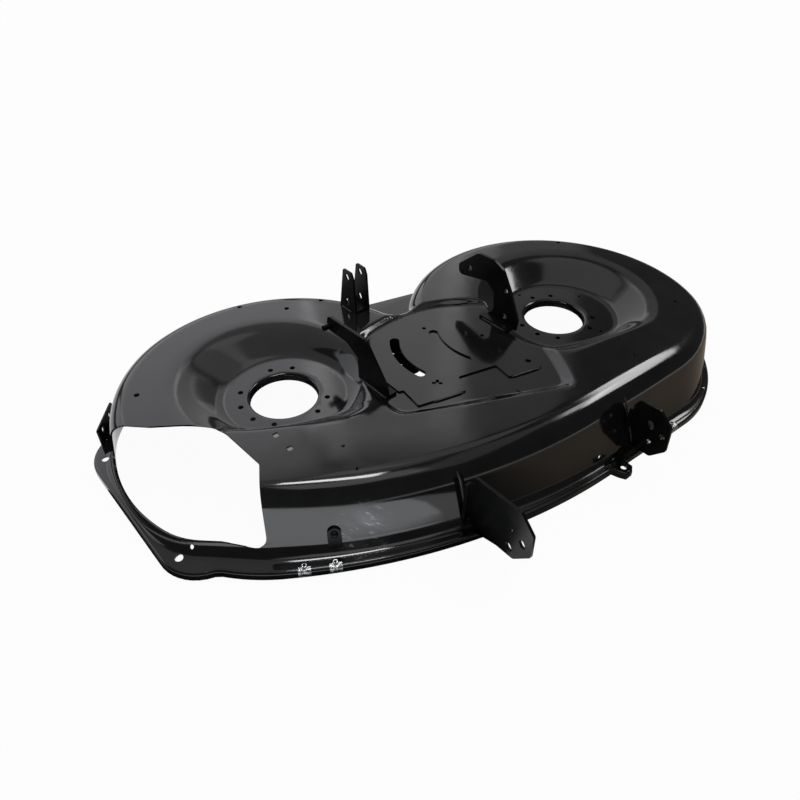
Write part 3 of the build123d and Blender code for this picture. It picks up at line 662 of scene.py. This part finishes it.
def make_piece(name, points, triangles, edge=None):
    """A smooth-shaded mesh piece from points in millimetres, with sharp lines along open edges."""
    mesh = bpy.data.meshes.new(name)
    mesh.from_pydata(0.001 * points, [], triangles)
    mesh.shade_smooth()
    if edge is not None:
        ends = np.empty(2 * len(mesh.edges), int)
        mesh.edges.foreach_get("vertices", ends)
        ends = ends.reshape(-1, 2)
        half = len(points) // 2
        sharp = edge[ends].all(1) & ((ends < half).sum(1) != 1)
        mesh.attributes.new("sharp_edge", "BOOLEAN", "EDGE").data.foreach_set("value", sharp)
    piece = bpy.data.objects.new(name, mesh)
    bpy.context.scene.collection.objects.link(piece)
    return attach(piece, "root")


STEP_AT = 3.0
STEP_BAND = 7.0
STEP_FOOT = 96.0
STEP_SIDE = 4.5
HOLE_SIDE = 2.4


def platform_band(points):
    """Zero on the top within STEP_BAND of the middle platform's step."""
    away = np.abs(platform_side(points[:, :2]) - STEP_AT) - STEP_BAND
    return np.where(points[:, 2] > STEP_FOOT, np.maximum(away, 0), FAR)


made = len(points)
points, triangles = refine(points, triangles, platform_band, STEP_SIDE)
on_top = outline_distance(points[:, :2], crest_ring[::3]) < -1
on_top[:made] = False
for side in (0, 1):
    chosen = on_top & (((points[:, :2] - middle) @ along > 0) == side)
    points[chosen, 2] = top_height(points[chosen, :2], side)
points, triangles = refine(points, triangles, punched, HOLE_SIDE)
points, triangles = punch(points, triangles, punched)
points, triangles, edge = thicken(points, triangles, SHEET)
points = np.clip(points, 1000 * np.array(cad_low), 1000 * np.array(cad_high))
deck_shell = make_piece("pressed_shell", points, triangles, edge)
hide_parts("deck_shell")


def new_material(name):
    """A node material, its node tree and its shader."""
    material = bpy.data.materials.new(name)
    material.use_nodes = True
    return material, material.node_tree, material.node_tree.nodes["Principled BSDF"]


def add_node(tree, kind, inputs=None, **settings):
    """A new node, whose inputs are sockets to link or values."""
    node = tree.nodes.new("ShaderNode" + kind)
    for name, value in settings.items():
        setattr(node, name, value)
    for name, value in (inputs or {}).items():
        if isinstance(value, bpy.types.NodeSocket):
            tree.links.new(value, node.inputs[name])
        else:
            node.inputs[name].default_value = value
    return node


def object_place(tree):
    """Object coordinates."""
    return add_node(tree, "TexCoord").outputs["Object"]


def noise(tree, place, scale, detail):
    """A noise pattern."""
    return add_node(tree, "TexNoise", {"Vector": place, "Scale": scale, "Detail": detail}).outputs["Fac"]


def spread(tree, value, low, high, start, end):
    """A value moved from the range low to high to the range start to end, and held there."""
    inputs = {"Value": value, "From Min": low, "From Max": high, "To Min": start, "To Max": end}
    return add_node(tree, "MapRange", inputs).outputs["Result"]


def bump(tree, height, distance, **before):
    """Normals of a bump, over those of another one."""
    return add_node(tree, "Bump", {"Height": height, "Distance": distance, **before}).outputs["Normal"]


def blend(tree, share, base, top):
    """A share of a top colour over a base colour."""
    inputs = {"Factor": share, "A": base, "B": top}
    return add_node(tree, "Mix", inputs, data_type="RGBA").outputs["Result"]


def maths(tree, operation, *values):
    """A maths node's value."""
    return add_node(tree, "Math", dict(enumerate(values)), operation=operation).outputs["Value"]


def distance_from(tree, place, at):
    """Distance from a point."""
    return add_node(tree, "VectorMath", {0: place, 1: at}, operation="DISTANCE").outputs["Value"]


# Scuffs have a broad haze and fine bright streaks: noise scale, lowest and highest noise, tint
SCUFF_GRAINS = ((45, 0.3, 0.7, 0.1), (150, 0.58, 0.72, 0.45))


def paint(name, colour, dull, glossy, dust, scuffs=()):
    """Sprayed black paint. Fine noise gives its orange peel and coarse noise a slow wave of the
    sheet, both as bump. Cloudy noise moves the roughness between glossy and dull and lays a thin
    film of dust. Scuffs are places with a reach, where stretched noise shows pale streaks."""
    material, tree, shader = new_material(name)
    shader.inputs["IOR"].default_value = 1.5
    place = object_place(tree)
    wave = bump(tree, noise(tree, place, 9, 1), 0.0002)
    peel = bump(tree, noise(tree, place, 420, 2), 0.00001, Normal=wave)
    film = spread(tree, noise(tree, place, 17, 5), 0.42, 0.75, 0, 1)
    tint = blend(tree, film, (*colour, 1), (*dust, 1))
    rough = spread(tree, noise(tree, place, 23, 4), 0.35, 0.7, glossy, dull)
    for centre, reach, turn in scuffs:
        near = spread(tree, distance_from(tree, place, centre), 0.3 * reach, reach, 1, 0)
        inputs = {"Vector": place, "Rotation": turn, "Scale": (4, 1, 1)}
        stretched = add_node(tree, "Mapping", inputs, vector_type="TEXTURE").outputs["Vector"]
        for grain, low, high, pale in SCUFF_GRAINS:
            streak = spread(tree, noise(tree, stretched, grain, 4), low, high, 0, 1)
            share = maths(tree, "MULTIPLY", near, streak)
            tint = blend(tree, share, tint, (pale, 1.02 * pale, 1.08 * pale, 1))
    tree.links.new(peel, shader.inputs["Normal"])
    tree.links.new(tint, shader.inputs["Base Color"])
    tree.links.new(rough, shader.inputs["Roughness"])
    return material


shell_paint = paint(
    "gloss_black_paint", (0.006, 0.006, 0.0065), 0.13, 0.08, (0.011, 0.0115, 0.012),
    scuffs=[((-0.319, -0.196, 0.045), 0.05, np.radians((0, 37, -20)))],
)
deck_shell.data.materials.append(shell_paint)

# Centre plate: a flat 3 mm sheet that stiffens the middle platform, with the idler's curved slots.
# It is welded to the shell along its front edges and is painted with it.
EASED_ANGLE = 32.0
BEAD_SIDES = 10
BEAD_STEP = 0.8
RIPPLE = 2.8
SWELL = 0.12


def eased(name, material, width):
    """A copy of a CAD node with its points merged and its flat faces dissolved, whose edges a small
    bevel eases, as paint rounds them."""
    mesh = frame["nodes"][name].data.copy()
    shape = bmesh.new()
    shape.from_mesh(mesh)
    bmesh.ops.remove_doubles(shape, verts=shape.verts, dist=1e-6)
    bmesh.ops.dissolve_limit(shape, angle_limit=np.radians(1), verts=shape.verts, edges=shape.edges)
    shape.to_mesh(mesh)
    shape.free()
    if "custom_normal" in mesh.attributes:
        mesh.attributes.remove(mesh.attributes["custom_normal"])
    mesh.shade_smooth()
    mesh.materials.clear()
    mesh.materials.append(material)
    piece = bpy.data.objects.new("eased_" + name, mesh)
    bpy.context.scene.collection.objects.link(piece)
    bevel = piece.modifiers.new("eased_edges", "BEVEL")
    bevel.width = 0.001 * width
    bevel.segments = 2
    bevel.limit_method = "ANGLE"
    bevel.angle_limit = np.radians(EASED_ANGLE)
    bevel.harden_normals = True
    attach(piece, "root")
    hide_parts(name)


def weld(name, paths, radius, material):
    """Weld beads along paths in millimetres: tubes that swell in ripples and fall off at both ends,
    r(s) = radius (1 + SWELL sin(2 pi s / RIPPLE)) sqrt(1 - (2 s / L - 1)^6)."""
    beads, bead_faces = [], []
    turn = np.linspace(0, 2 * np.pi, BEAD_SIDES, endpoint=False)[:, None]
    corner = np.arange(2, BEAD_SIDES)
    fan = np.stack([0 * corner, corner, corner - 1], -1)
    for path in paths:
        path = np.array(path, float)
        reach = np.concatenate([[0], np.cumsum(np.linalg.norm(np.diff(path, axis=0), axis=1))])
        s = np.linspace(0, reach[-1], max(8, round(reach[-1] / BEAD_STEP)))
        line = np.stack([np.interp(s, reach, path[:, i]) for i in range(3)], -1)
        ahead = np.gradient(line, axis=0)
        ahead /= np.linalg.norm(ahead, axis=1)[:, None]
        aside = np.cross(ahead, (0.31, 0.17, 0.93))
        aside /= np.linalg.norm(aside, axis=1)[:, None]
        up = np.cross(aside, ahead)
        end = np.sqrt(np.clip(1 - (2 * s / reach[-1] - 1) ** 6, 0.03, 1))
        size = radius * (1 + SWELL * np.sin(2 * np.pi * s / RIPPLE)) * end
        ring = np.cos(turn) * aside[:, None] + np.sin(turn) * up[:, None]
        first = BEAD_SIDES * sum(len(bead) for bead in beads)
        ids = first + np.arange(BEAD_SIDES * len(s)).reshape(-1, BEAD_SIDES)
        beads.append(line[:, None] + size[:, None, None] * ring)
        bead_faces.append(grid_faces(np.concatenate([ids, ids[:, :1]], axis=1)))
        bead_faces += [ids[0][fan], ids[-1][fan[:, ::-1]]]
    piece = make_piece(name, np.concatenate(beads).reshape(-1, 3), np.concatenate(bead_faces))
    piece.data.materials.append(material)


weld_paint = paint("painted_weld", (0.02, 0.018, 0.014), 0.4, 0.2, (0.05, 0.042, 0.03))
eased("centre_plate", shell_paint, 0.5)
plate_welds = [((-66, -141), (-12, -141)), ((80, -141), (136, -141))]
weld("plate_welds", [
    [(*(middle + x * along + y * behind), PLATFORM_HEIGHT + 1.2) for x, y in ends] for ends in plate_welds
], 2.0, weld_paint)

# Lift brackets: two hooked plates of 5 mm steel with a folded foot, welded on the platform beside
# the wells, and a stub pin at the left hook's tip. Their black paint is duller than the shell's.
bracket_paint = paint("satin_black_paint", (0.004, 0.0042, 0.0045), 0.4, 0.26, (0.009, 0.0088, 0.0085))
bracket_paint.node_tree.nodes["Principled BSDF"].inputs["Specular IOR Level"].default_value = 0.15
for name in ("left_lift_bracket", "right_lift_bracket", "left_lift_pin"):
    eased(name, bracket_paint, 0.6)
weld("lift_welds", [
    [(-154.8, -50, 102.6), (-154.8, 16, 102.6)], [(-134.3, -46, 102.4), (-134.3, 12, 102.4)],
    [(146.8, -54, 102.6), (146.8, 14, 102.6)], [(126.3, -46, 102.4), (126.3, 12, 102.4)],
], 1.9, weld_paint)

# Rear clevis: a channel folded from 3.5 mm sheet, whose two tall ears with slots take the rear
# hanger's pin. It is welded along both sides on the left lobe.
eased("rear_clevis", bracket_paint, 0.6)
weld("clevis_welds", [[(x, 172, 110.2), (x, 203, 110.2)] for x in (-50.9, -16.9)], 1.8, weld_paint)

# Front brackets: two plates of 5 mm steel set edge on to the front skirt, with a strip folded along
# the rear edge, welded to the skirt.
WELD_FOOT, WELD_HEAD = 16.0, 100.0
front_columns = np.flatnonzero(runs <= FRONT_STRAIGHT)
front_columns = front_columns[np.argsort(skirt[0, front_columns, 0])]
front_rows = skirt[:, front_columns]
weld_paths = []
for name, face in (("front_left_bracket", -177.0), ("front_right_bracket", 143.0)):
    eased(name, bracket_paint, 0.6)
    profile = np.array([(face, np.interp(face, row[:, 0], row[:, 1]), row[0, 2]) for row in front_rows])
    weld_paths.append(profile[(profile[:, 2] > WELD_FOOT) & (profile[:, 2] < WELD_HEAD)])
weld("front_bracket_welds", weld_paths, 2.2, weld_paint)

# Small steel parts on the rim: the chute's hinge angle at the discharge end, and the strap on the
# front skirt with the round-headed rivet that holds it, all painted with the brackets.
for name in ("chute_hinge_bracket", "skirt_strap"):
    eased(name, bracket_paint, 0.5)
eased("strap_rivet", bracket_paint, 0.15)

# Rim clips: three sprung clips of thin sheet, pushed over the rim's edge. They are bent from bright
# zinc plated steel, which keeps small dents.
zinc, zinc_tree, zinc_shader = new_material("bright_zinc")
zinc_shader.inputs["Metallic"].default_value = 1
zinc_shader.inputs["Base Color"].default_value = (0.42, 0.43, 0.44, 1)
dents = noise(zinc_tree, object_place(zinc_tree), 210, 3)
zinc_tree.links.new(bump(zinc_tree, dents, 0.002), zinc_shader.inputs["Normal"])
zinc_tree.links.new(spread(zinc_tree, dents, 0.3, 0.7, 0.18, 0.42), zinc_shader.inputs["Roughness"])
eased("rim_clips", zinc, 0.2)

# Studio: a plain pale floor that is white to the camera, apart from painted shade where it is seen
# through the small holes of the wells and the plate, and soft lamps.
CAMERA_AT = (-0.6728, -0.68487, 0.7979)
bpy.context.scene.view_settings.view_transform = "Standard"
FLOOR_LEVEL = -0.001
FLOOR_REACH = 9.0
FLOOR_GREY = 0.9
PAINTED_SHADE_DEPTH = 0.87
FLOOR_WHITE = 0.96
floor_mesh = bpy.data.meshes.new("studio_floor")
floor_corners = FLOOR_REACH * np.array([(-1, -1), (1, -1), (1, 1), (-1, 1)])
floor_mesh.from_pydata(lifted(floor_corners, FLOOR_LEVEL), [], [(0, 1, 2, 3)])
floor = bpy.data.objects.new("studio_floor", floor_mesh)
bpy.context.scene.collection.objects.link(floor)
floor_paint, floor_tree, matt = new_material("pale_floor")
matt.inputs["Roughness"].default_value = 1
white = add_node(floor_tree, "Emission", {"Strength": 1})
ray = add_node(floor_tree, "LightPath")
floor_place = object_place(floor_tree)


def floor_math(operation, *values):
    """A maths node of the floor's material, whose inputs are sockets or numbers."""
    return maths(floor_tree, operation, *values)


def mix_shaders(tree, share, base, top, output):
    """A share of one shader over another, as a tree's surface."""
    mixed = add_node(tree, "MixShader", {"Fac": share, 1: base, 2: top})
    tree.links.new(mixed.outputs["Shader"], tree.nodes[output].inputs["Surface"])


painted_shade = 0.0
idler = middle + IDLER_AT
# Painted shade on the floor, seen through the holes: plan position and height in mm, ring radius and
# half width, darkness
for at, height, radius, half, depth in (
    (left, WELL_HEIGHT, BOLT_CIRCLE, 11, 1), (right, WELL_HEIGHT, 81, 20, 1),
    *[(idler + IDLER_RADIUS * way(np.radians(angle)), 103, 0, IDLER_WIDTH, 1) for angle in (147, 163, 179)],
    *[(left + at, 106, 0, 9, 0.8) for at in SQUARE_HOLES],
    *[(left + at, 109, 0, 6, 1) for at in LEFT_SMALL_HOLES],
    *[(right + at, 109, 0, 6, 1) for at in RIGHT_SMALL_HOLES],
):
    spread_out = CAMERA_AT[2] / (CAMERA_AT[2] - 0.001 * height)
    seen_at = np.array(CAMERA_AT[:2]) + spread_out * (0.001 * at - CAMERA_AT[:2])
    away = distance_from(floor_tree, floor_place, (*seen_at, FLOOR_LEVEL))
    inside = floor_math("COMPARE", away, 0.001 * spread_out * radius, 0.001 * spread_out * half)
    painted_shade = floor_math("MAXIMUM", painted_shade, floor_math("MULTIPLY", inside, depth))
# Painted shade: the floor's colour is darker and its white glow is taken away where it is seen through the
# holes
floor_colour = floor_math("SUBTRACT", FLOOR_GREY, floor_math("MULTIPLY", painted_shade, PAINTED_SHADE_DEPTH))
floor_tree.links.new(floor_colour, matt.inputs["Base Color"])
lit = floor_math("MULTIPLY", floor_math("SUBTRACT", 1.0, painted_shade), FLOOR_WHITE)
# Painted shade under the deck: within three discs of its footprint the floor loses its white glow in
# reflections and shows only its lit colour
deck_shade_mask = 0.0
for at, reach in ((left, 0.27), (middle, 0.2), (right, 0.27)):
    away = distance_from(floor_tree, floor_place, (*(0.001 * at), FLOOR_LEVEL))
    deck_shade_mask = floor_math("MAXIMUM", deck_shade_mask, floor_math("LESS_THAN", away, reach))
clear = floor_math("MULTIPLY", floor_math("SUBTRACT", 1.0, deck_shade_mask), FLOOR_WHITE)
mirrored = floor_math("ADD", ray.outputs["Is Glossy Ray"], ray.outputs["Is Transmission Ray"])
seen = floor_math("MULTIPLY", ray.outputs["Is Camera Ray"], lit)
seen = floor_math("ADD", seen, floor_math("MULTIPLY", mirrored, clear))
mix_shaders(floor_tree, seen, matt.outputs["BSDF"], white.outputs["Emission"], "Material Output")
floor_mesh.materials.append(floor_paint)
world = bpy.data.worlds.new("studio")
bpy.context.scene.world = world
world.use_nodes = True
world_tree = world.node_tree
dim = world_tree.nodes["Background"]
dim.inputs["Color"].default_value = (1, 1, 1, 1)
dim.inputs["Strength"].default_value = 0.09
backdrop = add_node(world_tree, "Background", {"Color": (1, 1, 1, 1), "Strength": 1})
to_camera = add_node(world_tree, "LightPath").outputs["Is Camera Ray"]
mix_shaders(world_tree, to_camera, dim.outputs["Background"], backdrop.outputs["Background"], "World Output")

# A card lies round the front of the rim and to the right of it, seen only in reflections. Its colour
# is painted reflection: near black at the front, turning pale brown to the right.
CARD_INSIDE = 12.0
CARD_REACH, CARD_WIDENING = 45.0, 900.0
CARD_LEVEL = -0.5
card_columns = np.roll(np.arange(columns), -np.flatnonzero(runs == LEFT_LOBE)[0])
card_angle = np.degrees(angle_of(rim_ring[card_columns] - left)) % 360
card_columns = card_columns[(card_angle > 165) | (runs[card_columns] < RIGHT_LOBE)]
card_ring, card_outward = rim_ring[card_columns], rim_outward[card_columns]
card_reach = CARD_REACH + CARD_WIDENING * np.clip((card_ring[:, 0] + 120) / 250, 0, 1)
card_reach = np.where(runs[card_columns] >= LEFT_LOBE, CARD_REACH, card_reach)[:, None]
card_rows = np.stack([card_ring - CARD_INSIDE * card_outward, card_ring + card_reach * card_outward])
card_ids = np.arange(card_rows.shape[0] * card_rows.shape[1]).reshape(card_rows.shape[:2])
card_mesh = bpy.data.meshes.new("reflection_card")
card_mesh.from_pydata(0.001 * lifted(card_rows, CARD_LEVEL).reshape(-1, 3), [], grid_faces(card_ids))
card = bpy.data.objects.new("reflection_card", card_mesh)
bpy.context.scene.collection.objects.link(card)
card_paint, card_tree, card_shader = new_material("reflection_card")
card_shader.inputs["Roughness"].default_value = 1
# Painted reflection: the card turns from near black to pale brown towards the right
card_x = add_node(card_tree, "SeparateXYZ", {"Vector": object_place(card_tree)}).outputs["X"]
card_share = spread(card_tree, card_x, -0.16, 0.05, 0, 1)
card_reflection_colour = blend(card_tree, card_share, (0.04, 0.04, 0.042, 1), (0.62, 0.5, 0.4, 1))
card_tree.links.new(card_reflection_colour, card_shader.inputs["Base Color"])
card_mesh.materials.append(card_paint)
card.visible_camera = False
card.visible_shadow = False
card.visible_diffuse = False


def lamp(name, azimuth, elevation, wide, high, radiance, roll=0.0, colour=(1, 1, 1), distance=12.0):
    """A flat soft lamp that faces the object, wide and high in degrees. Its power is its radiance
    times pi times its area."""
    data = bpy.data.lights.new(name, "AREA")
    data.shape = "RECTANGLE"
    data.size, data.size_y = 2 * distance * np.tan(np.radians([wide / 2, high / 2]))
    data.energy = radiance * np.pi * data.size * data.size_y
    data.color = colour
    piece = bpy.data.objects.new(name, data)
    a, e = np.radians(azimuth), np.radians(elevation)
    toward = Vector((np.cos(e) * np.cos(a), np.cos(e) * np.sin(a), np.sin(e)))
    piece.location = distance * toward + Vector((0, 0, 0.05))
    turned = toward.to_track_quat("Z", "Y") @ Quaternion((0, 0, 1), np.radians(roll))
    piece.rotation_euler = turned.to_euler()
    piece.visible_camera = False
    bpy.context.scene.collection.objects.link(piece)
    return piece


lamp("back_left_lamp", 119, 28, 38, 35, 1.25, colour=(0.97, 0.99, 1.04))
lamp("back_lamp", 79, 27.5, 34, 34.6, 1.35, colour=(0.98, 0.98, 1.03))
lamp("back_right_lamp", 51.5, 27.5, 15, 34, 0.95)
lamp("back_right_low_lamp", 42, 19.3, 4, 17.6, 0.65)
lamp("back_right_edge_lamp", 38, 27, 12, 34, 0.3)
lamp("edge_lamp", 66, 45.4, 14, 2.6, 0.6)
lamp("edge_right_lamp", 49, 45.4, 14, 2.6, 0.6)
lamp("upper_back_lamp", 92, 66, 44, 38, 0.42)
lamp("upper_back_right_lamp", 40, 57, 22, 17, 0.55)
lamp("top_lamp", -105, 79, 24, 20, 1.2)
lamp("right_strip_lamp", -2, 44.6, 30, 7, 9, roll=-8, colour=(0.98, 1, 0.98))
lamp("upper_right_lamp", -40, 66, 40, 16, 0.35)
lamp("right_lamp", -10, 50, 12, 7, 5)
# Two near lamps: one over the front crest, which lights no matt surface, and one on the floor, face up
crest_lamp = lamp("crest_lamp", 0, 90, 12, 3.2, 18, distance=1.13)
crest_lamp.location = (-0.285, -0.085, 0.485)
crest_lamp.rotation_euler = (0, 0, np.radians(-47))
crest_lamp.visible_diffuse = False
low_lamp = lamp("low_lamp", -125, 0, 34.4, 53, 1.5, colour=(0.95, 0.99, 1.06), distance=1.0)
low_lamp.location = (-0.758, -0.575, -0.0004)
low_lamp.rotation_euler = (np.pi, 0, np.radians(-34.7))

# Camera: at the photograph's viewing angle, solved from the two spindle holes, whose circles are
# taken as equal and level.
camera_data = bpy.data.cameras.new("camera")
camera_data.lens = 30.47
camera_data.clip_end = 100
camera = bpy.data.objects.new("camera", camera_data)
camera.location = CAMERA_AT
pitch = np.radians(40.459)
look = Vector((0.6526 * np.cos(pitch), 0.7578 * np.cos(pitch), -np.sin(pitch)))
camera.rotation_euler = look.to_track_quat("-Z", "Y").to_euler()
bpy.context.scene.collection.objects.link(camera)
bpy.context.scene.camera = camera
